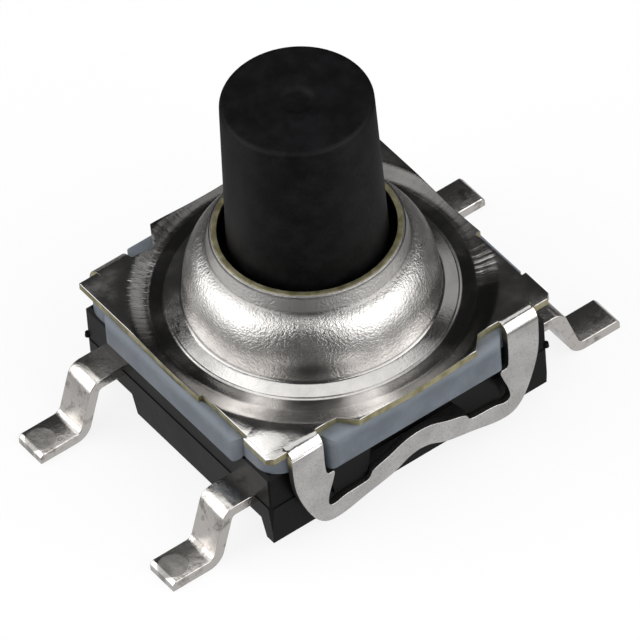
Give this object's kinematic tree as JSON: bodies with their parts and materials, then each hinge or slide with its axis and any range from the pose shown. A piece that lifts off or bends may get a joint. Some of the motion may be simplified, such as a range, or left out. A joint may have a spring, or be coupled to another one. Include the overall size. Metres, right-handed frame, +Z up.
{
  "type": "tactile push button switch",
  "caption": "Sealed surface-mount tactile switch: tall round black button, drawn metal cover with a round bell and hooked strap loops, grey seal, black base, gull-wing terminals.",
  "frame": {"origin": "middle of the bounding box's underside: on the button's axis, in the plane of the solder feet's undersides", "axes": "+Z up along the button's axis, +X along the terminals, +Y across them; the strap loops hang on the Y faces"},
  "size_m": [0.01, 0.0062, 0.0074],
  "materials": {
    "base_plastic": "semi-gloss black moulding",
    "tinned_brass": "satin tin plating over brass strip",
    "dome_steel": "thin sprung stainless sheet",
    "seal_silicone": "soft matte blue-grey silicone",
    "button_plastic": "matte black, mottled top",
    "cover_steel": "bright drawn stainless sheet with drawing marks"
  },
  "bodies": {
    "housing": {"base": "base_plastic", "centre_terminals": "tinned_brass", "rim_terminals": "tinned_brass", "snap_dome": "dome_steel", "seal": "seal_silicone", "cover": "cover_steel"},
    "plunger": {"button": "button_plastic"}
  },
  "joints": [
    {"name": "button_travel", "type": "slide", "parent": "housing", "child": "plunger", "axis": [0, 0, -1], "range_m": [0, 0.00035], "stiffness_N_per_m": 10000, "deforming": ["seal", "snap_dome"]}
  ]
}
